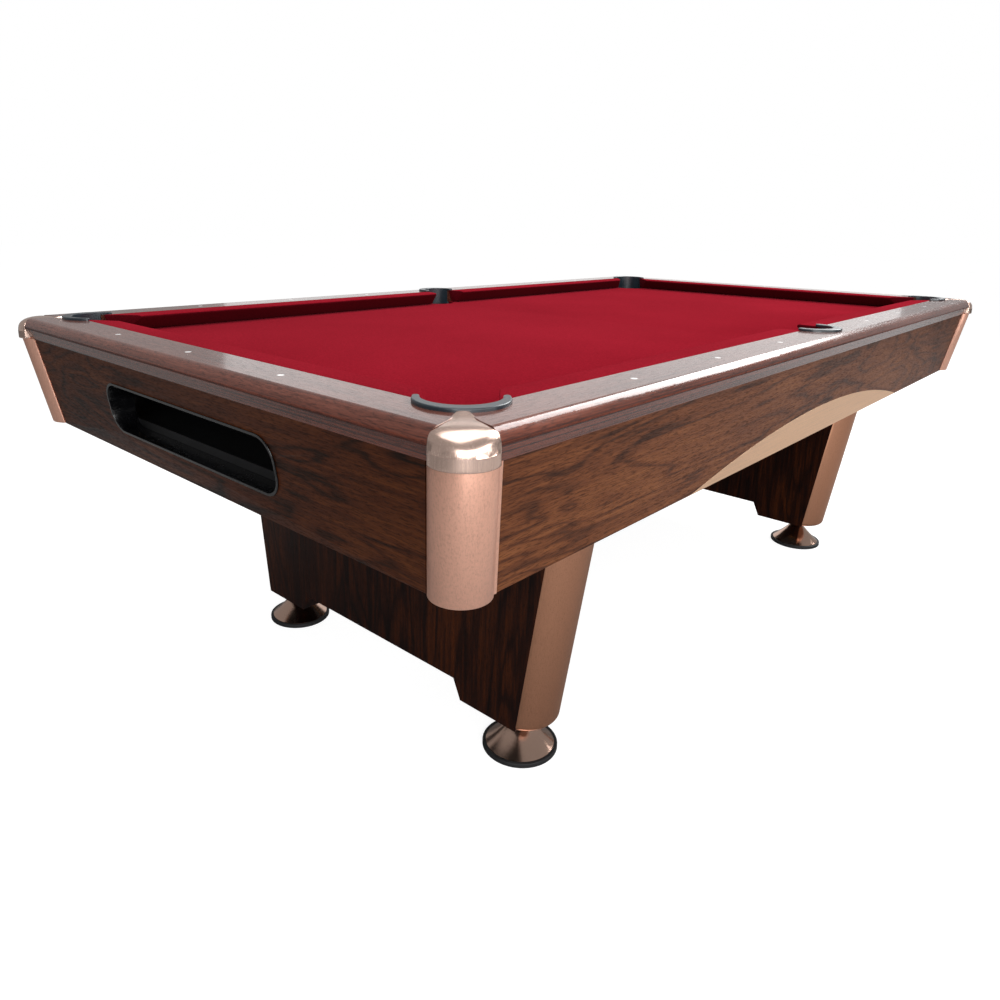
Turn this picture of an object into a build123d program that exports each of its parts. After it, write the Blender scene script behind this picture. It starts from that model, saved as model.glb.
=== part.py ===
from build123d import *
import os
from math import cos, hypot, radians, sin, sqrt

# Eight-foot home pool table with six pockets and a ball return.
# Millimetres. Origin on the floor under the middle of the table.
# +X runs along the table, away from the ball window; +Z is up.
# "near" is the -X end with the ball window, "right" is the -Y side.

# ---- Driving dimensions ------------------------------------------------------

PLAY_LENGTH = 2240.0          # between cushion noses
PLAY_WIDTH = 1120.0
HALF_X = PLAY_LENGTH / 2
HALF_Y = PLAY_WIDTH / 2

BED_TOP = 786.0               # playing surface
CLOTH = 1.0                   # cloth thickness
SLATE = 25.0
SLATE_EDGE = 92.0             # slate beyond the cushion nose
SLATE_TOP = BED_TOP - CLOTH
SLATE_BOTTOM = SLATE_TOP - SLATE

RAIL_TOP = 824.0
RAIL_INNER = 34.0             # distances outward from the cushion nose
CLOTH_EDGE = 55.0             # where cloth meets the wood on the rail top
RAIL_FLAT = 129.5             # end of the flat top
RAIL_OUTER = 147.0            # widest point of the rail
RAIL_FOOT = 138.0             # outer lower edge
RAIL_BOTTOM = 780.5
RAIL_ROUND = 22.0             # height of the rounded shoulder
SIGHT_LINE = 95.0
SIGHT_RADIUS = 5.5

BODY_TOP = 779.0
BODY_BOTTOM = 585.0
BODY_TOP_OFFSET = 134.0       # cabinet face beyond the cushion nose
BODY_BOTTOM_OFFSET = 100.0
APRON = 22.0                  # apron board thickness
CORNER_CUT = 60.0             # aprons stop this far from the corner
END_GAP = 3.0                 # shadow gap between the end aprons and the pillars
PILLAR_RADIUS = 43.0
PILLAR_FLANGE = (5.0, 1.6)    # width and thickness of the pillar's edge on the long apron

CORNER_POCKET = 14.0          # pocket centre beyond the nose, both ways
SIDE_POCKET = 56.0
CORNER_HOLE = 58.0            # hole radius through slate and rail
SIDE_HOLE = 50.0
CORNER_BORE = 55.0            # inside radius of the pocket liner
SIDE_BORE = 46.0
RIM_HEIGHT = 5.5
CORNER_RIM = (66.0, 9.2)      # outer radius of the crescent rim, its centre behind the bore's
SIDE_RIM = (62.0, 4.0)
RIM_TIPS = -1.0               # the rim's two tips, from the bore's centre
CORNER_HOOD = 18.0            # the tube rises to the rim only behind this
SIDE_HOOD = 6.0
CORNER_TUBE_END = 700.0       # lower end of the corner liners
SIDE_TUBE_END = 747.0         # shorter, to clear the leaning apron
CORNER_MOUTH = 111.8          # width between the cushion points
SIDE_MOUTH = 127.0

CORNER_JAW = 0.076            # how fast each jaw closes towards the pocket
SIDE_JAW = 0.245

CASTING_HALF = 41.4           # corner cap half width
CASTING_APEX = 197.0          # along the diagonal from the playfield corner
CASTING_FLAT = 162.0          # where the flat tongue starts to round over
CASTING_FRONT = 168.0         # where the round front meets the tongue's sides
CASTING_TOP = RAIL_TOP + 0.8
CASTING_LIP = 779.2           # bottom edge
CASTING_BAND = 796.0          # top of the upright band
CASTING_PROUD = 4.4           # beyond the rail's side face
CASTING_WALL = 5.0
TONGUE_SIDES = ((106.0, 9.6), (118.0, 13.6), (130.0, 18.2), (143.0, 24.4), (155.0, 31.4))
TONGUE_HALF = 6.5             # half width where the tongue meets the pocket rim
TONGUE_RISE = 4.4             # how far it lifts there, level with the rim
TONGUE_LEVEL = 124.0          # where it has come down to the rails

LEG_X = 747.5                 # pedestal centres
LEG_THICK = 130.0
LEG_BOTTOM = 80.0
LEG_TOP = 700.0
LEG_FACE_LOW = 426.0          # |Y| of the post's outer edge at LEG_BOTTOM
LEG_SLOPE = 0.155             # how much wider per millimetre of height
LEG_STEP = (257.0, 277.0)     # |Y| of the post's inner edge above and at the bottom
PANEL_BOTTOM = 123.0
PANEL_SKIN = 18.0
COVER_BULGE = 41.0
COVER_TOP = 600.0
COVER_WALL = 4.0

FOOT_Y = 388.0
FOOT_RADIUS = 77.5
PAD_HEIGHT = 10.0
STEM_RADIUS = 8.0
STEM_FIT = 0.08               # running clearance of the stem in its thread insert
STEM_SEAT = 46.0              # bottom of the stem's socket in the cone
STEM_REACH = 110.0            # stem inside the post
INSERT_RADIUS = 14.0
INSERT_LENGTH = 50.0
CONE_BASE = 70.5
CONE_BOTTOM = 6.0
CONE_WAIST = (42.0, 36.2)     # radius and height halfway up the hollow flank
CONE_TOP = (17.0, 64.0)
NECK_TOP = 74.0

WINDOW_Z = 683.0              # ball window centre and half sizes
WINDOW_HALF_Y = 293.0
WINDOW_HALF_Z = 52.0
WINDOW_CORNER = 42.0
WINDOW_RIM = 5.0
SLEEVE_WALL = 3.0
SLEEVE_FIT = 0.3
WINDOW_PROUD = 2.5

ARCH_RISE = 72.0              # laminate arch on the long aprons
ARCH_HALF_SPAN = 632.0
ARCH_THICK = 2.0

RUN_Y = HALF_Y + 29.0         # ball runway centre line
RUN_WIDTH = 84.0
SHEET = 3.0
RUN_FAR_X = 1191.0
RUN_NEAR_X = -1057.0
RUN_FAR_Z = 673.0             # runway floor, sloping to the near end
RUN_NEAR_Z = 638.0
TRAY_FLOOR = 629.0
TRAY_LIP = 651.0              # front wall, seen through the window
TRAY_BACK = -1057.0
TRAY_FRONT = -1190.0

BEAM_BOTTOM = LEG_TOP
BEAMS = ((LEG_X, LEG_THICK), (404.0, 100.0))   # |X| and width
CLEAT_LOW = 730.0
END_CLEAT_LOW = 738.0         # above the ball window's sleeve
BOLT_RADIUS = 5.0
BOLT_LINE = 75.0              # rail bolts behind the cushion nose
BOLT_REACH = 54.0
RAIL_BOLT_SINK = 13.0         # radius of the clearance round a washer in the cleats
LEG_BOLT_Y = 440.0
LEG_BOLT_STEP = 35.0
LEG_BOLT_REACH = 120.0
LEG_HEAD_SINK = 12.0

SIDES = ((-1, "near"), (1, "far"))
HANDS = ((-1, "right"), (1, "left"))
EPS = 0.01
BOTTOM_UP = (Align.CENTER, Align.CENTER, Align.MIN)
TOP_DOWN = (Align.CENTER, Align.CENTER, Align.MAX)


# ---- Helpers -----------------------------------------------------------------

def save(shape, name):
    solids = shape.solids()
    result = solids[0] if len(solids) == 1 else Compound(children=list(solids))
    export_step(result, f"parts/{name}.step")


def block(x0, x1, y0, y1, z0, z1):
    """A box between two corners."""
    centre = Pos((x0 + x1) / 2, (y0 + y1) / 2, (z0 + z1) / 2)
    return centre * Box(x1 - x0, y1 - y0, z1 - z0)


def to_quadrant(shape, sx, sy):
    """Mirror a shape drawn in the +X +Y quadrant into another quadrant."""
    if sx < 0:
        shape = mirror(shape, about=Plane.YZ)
    if sy < 0:
        shape = mirror(shape, about=Plane.XZ)
    return shape


def body_offset(z):
    """Cabinet face beyond the cushion nose at height z."""
    share = (z - BODY_BOTTOM) / (BODY_TOP - BODY_BOTTOM)
    return BODY_BOTTOM_OFFSET + share * (BODY_TOP_OFFSET - BODY_BOTTOM_OFFSET)


def tapered_body(inset_x, inset_y, low=BODY_BOTTOM, high=BODY_TOP):
    """The cabinet's tapered outline, moved inward on the ends and the sides."""
    sections = []
    for z in (low, high):
        width_x = 2 * (HALF_X + body_offset(z) - inset_x)
        width_y = 2 * (HALF_Y + body_offset(z) - inset_y)
        sections.append((Pos(0, 0, z) * Rectangle(width_x, width_y)).face())
    return loft(sections, ruled=True)


def prism_x(points, x0, x1):
    """Extrude a (y, z) outline from x0 to x1."""
    face = make_face(Plane.YZ * Polyline(*points, close=True))
    return Pos(x0, 0, 0) * extrude(face, amount=x1 - x0, dir=(1, 0, 0))


def prism_y(points, y0, y1):
    """Extrude an (x, z) outline from y0 to y1."""
    face = make_face(Plane.XZ * Polyline(*points, close=True))
    return Pos(0, y0, 0) * extrude(face, amount=y1 - y0, dir=(0, 1, 0))


def at_corner(shape):
    """Place a shape drawn along local +X onto the +X +Y playfield diagonal."""
    return Pos(HALF_X, HALF_Y, 0) * Rot(0, 0, 45) * shape


def at_side_pocket(shape):
    """Place a shape drawn along local +X so it points out over the +Y rail."""
    return Pos(0, HALF_Y, 0) * Rot(0, 0, 90) * shape


def all_four(shape):
    """The same shape in all four corners, as a list."""
    return [to_quadrant(shape, sx, sy) for sx in (-1, 1) for sy in (-1, 1)]


def both_sides(shape):
    return [to_quadrant(shape, 1, sy) for sy in (-1, 1)]


# ---- Pocket openings ---------------------------------------------------------

CORNER_CENTRE = CORNER_POCKET * sqrt(2)   # along the diagonal


def mouth(half_nose, jaw, nose, depth, extra=0.0):
    """Opening between the cushion ends, widening towards the playfield."""
    back = nose - 150.0
    wide = half_nose + extra + jaw * (nose - back)
    narrow = half_nose + extra - jaw * (depth - nose)
    points = [(back, wide), (depth, narrow), (depth, -narrow), (back, -wide)]
    face = make_face(Polyline(*points, close=True))
    return Pos(0, 0, 700) * extrude(face, amount=200, dir=(0, 0, 1))


def corner_mouth(depth, extra=0.0):
    half = CORNER_MOUTH / 2
    return at_corner(mouth(half, CORNER_JAW, -half, depth, extra))


def side_mouth(depth, extra=0.0):
    return at_side_pocket(mouth(SIDE_MOUTH / 2, SIDE_JAW, 0.0, depth, extra))


def corner_hole():
    return at_corner(Pos(CORNER_CENTRE, 0, 760) * Cylinder(CORNER_HOLE, 400))


def side_hole():
    return at_side_pocket(Pos(SIDE_POCKET, 0, 760) * Cylinder(SIDE_HOLE, 400))


def slate_cuts():
    """Pocket cut-outs, open to the slate's edges."""
    corner_slot = at_corner(Pos(CORNER_CENTRE + 75, 0, 760) * Box(150, 2 * CORNER_HOLE, 400))
    side_slot = at_side_pocket(Pos(SIDE_POCKET + 75, 0, 760) * Box(150, 2 * SIDE_HOLE, 400))
    cuts = all_four(corner_hole()) + all_four(corner_slot)
    return cuts + both_sides(side_hole()) + both_sides(side_slot)


# ---- Slate bed and cloth -----------------------------------------------------

def bolt_places():
    """Rail bolts: three to each cushion."""
    places = []
    for sy in (-1, 1):
        for sx in (-1, 1):
            for x in (200.0, 560.0, 920.0):
                places.append((sx * x, sy * (HALF_Y + BOLT_LINE)))
    for sx in (-1, 1):
        for y in (-330.0, 0.0, 330.0):
            places.append((sx * (HALF_X + BOLT_LINE), y))
    return places


def make_bed():
    half_x = HALF_X + SLATE_EDGE
    half_y = HALF_Y + SLATE_EDGE
    joint = half_x / 3
    cuts = slate_cuts()
    holes = [Pos(x, y, 760) * Cylinder(BOLT_RADIUS + 1, 60) for x, y in bolt_places()]
    spans = (("near", -half_x, -joint), ("middle", -joint, joint), ("far", joint, half_x))
    for name, x0, x1 in spans:
        slab = block(x0, x1, -half_y, half_y, SLATE_BOTTOM, SLATE_TOP)
        save(slab - cuts - holes, f"slate_{name}")
    edge = 2.0
    sheet = block(-half_x + edge, half_x - edge, -half_y + edge, half_y - edge, SLATE_TOP, BED_TOP)
    save(sheet - cuts - holes, "bed_cloth")


# ---- Rails, cushions and sights ----------------------------------------------

def rail_face():
    """Rail section: local X is the distance from the nose, local Y is height."""
    inner_top = RAIL_TOP - CLOTH
    under = BED_TOP + CLOTH
    shoulder = RAIL_TOP - RAIL_ROUND
    outline = Polyline(
        (RAIL_OUTER, shoulder),
        (RAIL_FOOT, RAIL_BOTTOM),
        (SLATE_EDGE + 4, RAIL_BOTTOM),
        (SLATE_EDGE + 4, BED_TOP),
        (CLOTH_EDGE + 5, BED_TOP),
        (CLOTH_EDGE + 5, under),
        (RAIL_INNER, under),
        (RAIL_INNER, inner_top),
        (CLOTH_EDGE, inner_top),
        (CLOTH_EDGE, RAIL_TOP),
        (RAIL_FLAT, RAIL_TOP),
    )
    shoulder_arc = EllipticalCenterArc(
        (RAIL_FLAT, shoulder), RAIL_OUTER - RAIL_FLAT, RAIL_ROUND, start_angle=0, arc_size=90
    )
    return make_face(outline + shoulder_arc)


def along_side(face, half_length):
    """Run a nose section along the +Y side of the table."""
    plane = Plane(origin=(-half_length, HALF_Y, 0), x_dir=(0, 1, 0), z_dir=(1, 0, 0))
    return extrude(plane * face, amount=2 * half_length, dir=(1, 0, 0))


def along_end(face, half_length):
    """Run a nose section along the +X end of the table."""
    plane = Plane(origin=(HALF_X, half_length, 0), x_dir=(1, 0, 0), z_dir=(0, -1, 0))
    return extrude(plane * face, amount=2 * half_length, dir=(0, -1, 0))


def diagonal_half(side):
    """Everything on one side of the four corner diagonals, for mitred ends."""
    gap = 0.4
    reach = 300.0
    if side == "side":
        points = [(-HALF_X - reach, HALF_Y + reach + gap), (-HALF_X + 200, HALF_Y - 200 + gap),
                  (HALF_X - 200, HALF_Y - 200 + gap), (HALF_X + reach, HALF_Y + reach + gap)]
    else:
        points = [(HALF_X + reach + gap, HALF_Y + reach), (HALF_X - 200 + gap, HALF_Y - 200),
                  (HALF_X - 200 + gap, -HALF_Y + 200), (HALF_X + reach + gap, -HALF_Y - reach)]
    face = make_face(Polyline(*points, close=True))
    return Pos(0, 0, 700) * extrude(face, amount=200, dir=(0, 0, 1))


def sight_places():
    places = []
    step = PLAY_LENGTH / 8
    for sy in (-1, 1):
        for k in (1, 2, 3, 5, 6, 7):
            places.append((-HALF_X + k * step, sy * (HALF_Y + SIGHT_LINE)))
    for sx in (-1, 1):
        for k in (-1, 0, 1):
            places.append((sx * (HALF_X + SIGHT_LINE), k * PLAY_WIDTH / 4))
    return places


def rail_cuts():
    """Pocket holes, the corner caps' space and the sight and bolt holes."""
    cap_space = at_corner(Pos(0, 0, 700) * extrude(casting_outline(0.0), amount=200, dir=(0, 0, 1)))
    corner_trim = at_corner(block(CASTING_FLAT - 4, 260, -20, 20, 700, 900))
    cuts = all_four(corner_mouth(22.0)) + all_four(corner_hole())
    cuts += all_four(cap_space) + all_four(corner_trim)
    cuts += both_sides(side_mouth(CLOTH_EDGE)) + both_sides(side_hole())
    sight_depth = 2.0
    for x, y in sight_places():
        cuts.append(Pos(x, y, RAIL_TOP) * Cylinder(SIGHT_RADIUS, 2 * sight_depth))
    for x, y in bolt_places():
        cuts.append(Pos(x, y, BED_TOP) * Cylinder(BOLT_RADIUS, 56))
    return cuts


def make_rails():
    cuts = rail_cuts()
    side = along_side(rail_face(), HALF_X + RAIL_OUTER) & diagonal_half("side")
    end = along_end(rail_face(), HALF_Y + RAIL_OUTER) & diagonal_half("end")
    for sign, hand in HANDS:
        save(to_quadrant(side, 1, sign) - cuts, f"side_rail_{hand}")
    for sign, place in SIDES:
        save(to_quadrant(end, sign, 1) - cuts, f"end_rail_{place}")
    dots = []
    for x, y in sight_places():
        dots.append(Pos(x, y, RAIL_TOP - 1.9) * Cylinder(SIGHT_RADIUS, 2.0, align=BOTTOM_UP))
    save(Compound(children=dots), "rail_sights")


def cushion_face(shrink):
    """Cushion section; shrink moves the visible faces in by the cloth thickness."""
    nose_top = RAIL_TOP - 0.6 - shrink
    nose_low = RAIL_TOP - 6.0
    under = BED_TOP + 0.2 + shrink
    back = RAIL_INNER if shrink else CLOTH_EDGE + 5 - EPS
    points = [
        (2.0 + shrink, nose_top),
        (shrink, nose_top - 2.0),
        (shrink, nose_low),
        (27.0 + shrink, under),
        (back, under),
    ]
    if shrink:
        points += [(RAIL_INNER, RAIL_TOP - CLOTH)]
    else:
        points += [(back, BED_TOP + CLOTH), (RAIL_INNER, BED_TOP + CLOTH),
                   (RAIL_INNER, RAIL_TOP - CLOTH), (CLOTH_EDGE, RAIL_TOP - CLOTH),
                   (CLOTH_EDGE, RAIL_TOP)]
    return make_face(Polyline(*points, close=True))


def cushion_set(shrink):
    """Six cushion bodies: two along each side, one at each end."""
    cuts = all_four(corner_mouth(160.0, shrink)) + both_sides(side_mouth(75.0, shrink))
    side = along_side(cushion_face(shrink), HALF_X + 60) & diagonal_half("side")
    end = along_end(cushion_face(shrink), HALF_Y + 60) & diagonal_half("end")
    pieces = [to_quadrant(side, 1, sy) - cuts for sy in (-1, 1)]
    pieces += [to_quadrant(end, sx, 1) - cuts for sx in (-1, 1)]
    return pieces


def make_cushions():
    rubber = cushion_set(CLOTH)
    save(Compound(children=[s for p in rubber for s in p.solids()]), "cushion_rubbers")
    covers = [outer - core for outer, core in zip(cushion_set(0.0), rubber)]
    save(Compound(children=[s for p in covers for s in p.solids()]), "cushion_cloths")


# ---- Corner castings ---------------------------------------------------------

def casting_neck():
    """Where the tongue meets the pocket rim, along the diagonal."""
    radius, shift = CORNER_RIM
    return CORNER_CENTRE + shift + radius + 0.1


def casting_outline(inset):
    """Onion-shaped plan of the cap in diagonal coordinates: narrow tongue, round front."""
    neck = casting_neck()
    front = CASTING_FRONT
    half = CASTING_HALF - inset
    side = [(neck, TONGUE_HALF)] + [(s, a - inset / 2) for s, a in TONGUE_SIDES] + [(front, half)]
    other = [(s, -a) for s, a in side]
    plan = (
        Line((neck, TONGUE_HALF), (neck, -TONGUE_HALF))
        + Spline(*other)
        + ThreePointArc((front, -half), (CASTING_APEX - inset, 0), (front, half))
        + Spline(*reversed(side))
    )
    return make_face(plan)


def cap_face(inset):
    """Section of the cap over a rail: flat top, rounded shoulder, upright side."""
    outer = RAIL_OUTER + CASTING_PROUD - inset
    top = CASTING_TOP - inset
    shoulder = RAIL_TOP - RAIL_ROUND
    step = (TONGUE_LEVEL + CASTING_FLAT) / 2 * sqrt(0.5)
    high = CASTING_TOP + TONGUE_RISE + 1
    outline = Polyline((outer, shoulder), (outer, CASTING_LIP), (0, CASTING_LIP), (0, high),
                       (step, high), (step, top), (RAIL_FLAT - inset, top))
    round_over = EllipticalCenterArc(
        (RAIL_FLAT - inset, shoulder), outer - RAIL_FLAT + inset, top - shoulder,
        start_angle=0, arc_size=90
    )
    return make_face(outline + round_over)


def casting_solid(inset):
    """Corner cap: its plan under the two rail sections and a domed front."""
    apex = CASTING_APEX - inset
    top = CASTING_TOP - inset
    neck = casting_neck()
    outline = Pos(0, 0, CASTING_LIP - 1) * extrude(casting_outline(inset), amount=80, dir=(0, 0, 1))
    lift = TONGUE_LEVEL - neck
    side = (
        Polyline((apex, CASTING_BAND), (apex, CASTING_LIP), (neck, CASTING_LIP),
                 (neck, top + TONGUE_RISE), (neck + 0.25 * lift, top + 0.82 * TONGUE_RISE),
                 (neck + 0.5 * lift, top + 0.42 * TONGUE_RISE),
                 (neck + 0.75 * lift, top + 0.1 * TONGUE_RISE), (TONGUE_LEVEL, top),
                 (CASTING_FLAT, top))
        + EllipticalCenterArc((CASTING_FLAT, CASTING_BAND), apex - CASTING_FLAT,
                              top - CASTING_BAND, start_angle=0, arc_size=90)
    )
    dome = extrude(make_face(Plane.XZ * side), amount=60, both=True)
    reach = 250.0
    over_side = along_side(cap_face(inset), HALF_X + reach)
    over_end = along_end(cap_face(inset), HALF_Y + reach)
    return at_corner(outline & dome) & over_side & over_end


def make_castings():
    hollow = casting_solid(CASTING_WALL) & at_corner(block(150, 300, -60, 60, CASTING_LIP - 5, 900))
    below = at_corner(block(156, 185, -22, 22, CASTING_LIP - 5, CASTING_LIP + 6))
    shell = casting_solid(0.0) - hollow - below
    for sx, place in SIDES:
        for sy, hand in HANDS:
            save(to_quadrant(shell, sx, sy), f"corner_casting_{place}_{hand}")


# ---- Pocket liners -----------------------------------------------------------

def rim_crescent(rim, bore):
    """Rim on the rail top: thick behind the pocket, thinning to two rounded tips."""
    radius, shift = rim
    base = Pos(0, 0, RAIL_TOP)
    disc = Cylinder(radius, RIM_HEIGHT, align=BOTTOM_UP)
    disc = fillet(disc.edges().filter_by(GeomType.CIRCLE).group_by(Axis.Z)[-1], 2.5)
    ease = 1.2
    opening = Cylinder(bore, RIM_HEIGHT, align=BOTTOM_UP)
    opening += Pos(0, 0, RIM_HEIGHT - ease) * Cone(bore, bore + ease, ease, align=BOTTOM_UP)
    behind = block(RIM_TIPS, 2 * radius, -2 * radius, 2 * radius, -1, RIM_HEIGHT + 1)
    ring = (Pos(shift, 0, 0) * disc - opening) & behind
    outside = sqrt(radius ** 2 - (RIM_TIPS - shift) ** 2)
    inside = sqrt(bore ** 2 - RIM_TIPS ** 2)
    for sign in (-1, 1):
        tip = Cylinder((outside - inside) / 2, RIM_HEIGHT, align=BOTTOM_UP)
        tip = fillet(tip.edges().filter_by(GeomType.CIRCLE).group_by(Axis.Z)[-1], 2.0)
        ring += Pos(RIM_TIPS, sign * (outside + inside) / 2, 0) * tip
    return base * ring


def pocket_liner(rim, hole, bore, hood, low):
    """Moulded liner about the pocket centre: rim on top, tube and rear hood below."""
    height = RAIL_TOP + 2 - low
    tube = Cylinder(hole - 0.3, height, align=BOTTOM_UP)
    wall = Pos(0, 0, low) * (tube - Cylinder(bore, height, align=BOTTOM_UP))
    open_front = block(-80, hood, -80, 80, SLATE_BOTTOM - 1.0, RAIL_TOP + 20)
    return wall - open_front + rim_crescent(rim, bore)


def make_pocket_liners():
    corner = pocket_liner(CORNER_RIM, CORNER_HOLE, CORNER_BORE, CORNER_HOOD, CORNER_TUBE_END)
    corner = at_corner(Pos(CORNER_CENTRE, 0, 0) * corner)
    for sx, place in SIDES:
        for sy, hand in HANDS:
            save(to_quadrant(corner, sx, sy), f"pocket_liner_{place}_{hand}")
    side = pocket_liner(SIDE_RIM, SIDE_HOLE, SIDE_BORE, SIDE_HOOD, SIDE_TUBE_END)
    side = at_side_pocket(Pos(SIDE_POCKET, 0, 0) * side)
    for sy, hand in HANDS:
        save(to_quadrant(side, 1, sy), f"pocket_liner_side_{hand}")


# ---- Cabinet -----------------------------------------------------------------

def window_outline(grow):
    """Rounded window opening in the end apron, run through along X."""
    half_y = WINDOW_HALF_Y + grow
    half_z = WINDOW_HALF_Z + grow
    face = Plane.YZ * RectangleRounded(2 * half_y, 2 * half_z, WINDOW_CORNER + grow)
    return Pos(-1300, 0, WINDOW_Z) * extrude(face, amount=200, dir=(1, 0, 0))


def arch_prism():
    """Region under the laminate arch, run through the table along Y."""
    low = BODY_BOTTOM - 1
    arch = (
        ThreePointArc((-ARCH_HALF_SPAN, low), (0, BODY_BOTTOM + ARCH_RISE), (ARCH_HALF_SPAN, low))
        + Line((ARCH_HALF_SPAN, low), (-ARCH_HALF_SPAN, low))
    )
    return extrude(make_face(Plane.XZ * arch), amount=900, both=True)


def make_aprons():
    outer_sides = tapered_body(CORNER_CUT, 0) - tapered_body(0, APRON)
    outer_ends = tapered_body(0, CORNER_CUT + END_GAP) - tapered_body(APRON, 0)
    arches = (tapered_body(0, 0) - tapered_body(0, ARCH_THICK)) & arch_prism()
    sides = outer_sides - arches
    for sign, hand in HANDS:
        half = block(-1500, 1500, min(0, sign * 900), max(0, sign * 900), 500, 900)
        save(sides & half, f"side_apron_{hand}")
        save(arches & half, f"arch_panel_{hand}")
    hole = window_outline(-WINDOW_RIM + SLEEVE_WALL + SLEEVE_FIT)
    for sign, place in SIDES:
        half = block(min(0, sign * 1500), max(0, sign * 1500), -900, 900, 500, 900)
        apron = outer_ends & half
        save(apron - hole if sign < 0 else apron, f"end_apron_{place}")


def make_window_frame():
    """Moulded frame: a thin flange on the face and a sleeve through the apron."""
    flange_zone = tapered_body(-WINDOW_PROUD, 0) - tapered_body(0, 0)
    opening = window_outline(-WINDOW_RIM)
    flange = (flange_zone & window_outline(0)) - opening
    sleeve_zone = tapered_body(-WINDOW_PROUD, 0) & block(-1300, TRAY_FRONT, -900, 900, 500, 900)
    sleeve = (sleeve_zone & window_outline(-WINDOW_RIM + SLEEVE_WALL)) - opening
    save(flange + sleeve, "ball_window_frame")


def pillar_outline(offset):
    """Half-round corner post with a flat back that fills between the apron ends."""
    cx = HALF_X + offset
    cy = HALF_Y + offset
    cut = CORNER_CUT
    step = 1.5                            # leaves a fine shadow line beside the aprons
    inner = make_face(Polyline(
        (cx - cut, cy - step), (cx - cut + step, cy - step), (cx - step, cy - cut + step),
        (cx - step, cy - cut), (cx - APRON, cy - cut), (cx - cut, cy - APRON), close=True
    ))
    round_part = Pos(cx - cut / 2, cy - cut / 2) * Circle(PILLAR_RADIUS)
    behind = Pos(cx - cut, cy - cut) * Rot(0, 0, 45) * Rectangle(2 * cut * sqrt(0.5), 400)
    wide, thick = PILLAR_FLANGE
    flange = make_face(Polyline((cx - cut - wide, cy), (cx - cut + 6, cy), (cx - cut + 6, cy + thick),
                                (cx - cut - wide, cy + thick), close=True))
    return (round_part - behind) + inner + flange


def make_pillars():
    """Oblique prism that leans out with the cabinet's taper."""
    lean = BODY_TOP_OFFSET - BODY_BOTTOM_OFFSET
    rise = CASTING_LIP - BODY_BOTTOM
    length = hypot(hypot(lean, lean), BODY_TOP - BODY_BOTTOM) * rise / (BODY_TOP - BODY_BOTTOM)
    face = Pos(0, 0, BODY_BOTTOM) * pillar_outline(BODY_BOTTOM_OFFSET)
    post = extrude(face, amount=length, dir=(lean, lean, BODY_TOP - BODY_BOTTOM))
    for sx, place in SIDES:
        for sy, hand in HANDS:
            save(to_quadrant(post, sx, sy), f"corner_pillar_{place}_{hand}")


def make_support_beams():
    """Cross beams and edge cleats that carry the slate inside the cabinet."""
    space = tapered_body(APRON, APRON)
    bolts = [Pos(x, y, BEAM_BOTTOM) * Cylinder(BOLT_RADIUS + 0.5, 200) for x, y in leg_bolt_places()]
    heads = [
        Pos(x, y, SLATE_BOTTOM) * Cylinder(11, 2 * LEG_HEAD_SINK) for x, y in leg_bolt_places()
    ]
    pieces = []
    for x, width in BEAMS:
        for sx in (-1, 1):
            x0 = sx * x - width / 2
            beam = block(x0, x0 + width, -800, 800, BEAM_BOTTOM, SLATE_BOTTOM) & space
            pieces.append(beam - bolts - heads)
    for sx in (-1, 1):
        x0, x1 = sorted((sx * 1180.0, sx * 1300.0))
        pieces.append(block(x0, x1, -470, 470, END_CLEAT_LOW, SLATE_BOTTOM) & space)
    gaps = ((75.0, BEAMS[1][0] - BEAMS[1][1] / 2),
            (BEAMS[1][0] + BEAMS[1][1] / 2, LEG_X - LEG_THICK / 2),
            (LEG_X + LEG_THICK / 2, 1060.0))
    for sx in (-1, 1):
        for sy in (-1, 1):
            for near, far in gaps:
                x0, x1 = sorted((sx * near, sx * far))
                y0, y1 = sorted((sy * 641.0, sy * 800.0))
                pieces.append(block(x0, x1, y0, y1, CLEAT_LOW, SLATE_BOTTOM) & space)
    sinks = [Pos(x, y, SLATE_BOTTOM) * Cylinder(RAIL_BOLT_SINK, 24) for x, y in bolt_places()]
    pieces = [piece - sinks for piece in pieces]
    save(Compound(children=[s for p in pieces for s in p.solids()]), "slate_support_beams")


# ---- Bolts -------------------------------------------------------------------

def leg_bolt_places():
    steps = (-LEG_BOLT_STEP, LEG_BOLT_STEP)
    return [(sx * LEG_X + dx, sy * LEG_BOLT_Y) for sx in (-1, 1) for sy in (-1, 1) for dx in steps]


def make_bolts():
    head_height = 6.4
    washer_height = 2.0
    head = extrude(RegularPolygon(8.5, 6), amount=head_height)
    rail_bolts = []
    for x, y in bolt_places():
        shank = Cylinder(BOLT_RADIUS, BOLT_REACH, align=BOTTOM_UP)
        washer = Pos(0, 0, SLATE_BOTTOM - washer_height) * Cylinder(12, washer_height, align=BOTTOM_UP)
        bolt = Pos(0, 0, SLATE_BOTTOM) * shank + washer
        bolt += Pos(0, 0, SLATE_BOTTOM - washer_height - head_height) * head
        rail_bolts.append(Pos(x, y, 0) * bolt)
    save(Compound(children=rail_bolts), "rail_bolts")
    leg_bolts = []
    for x, y in leg_bolt_places():
        shank = Cylinder(BOLT_RADIUS, LEG_BOLT_REACH, align=TOP_DOWN)
        seat = SLATE_BOTTOM - LEG_HEAD_SINK
        leg_bolts.append(Pos(x, y, seat) * (shank + head))
    save(Compound(children=leg_bolts), "leg_bolts")


# ---- Ball return -------------------------------------------------------------

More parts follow.
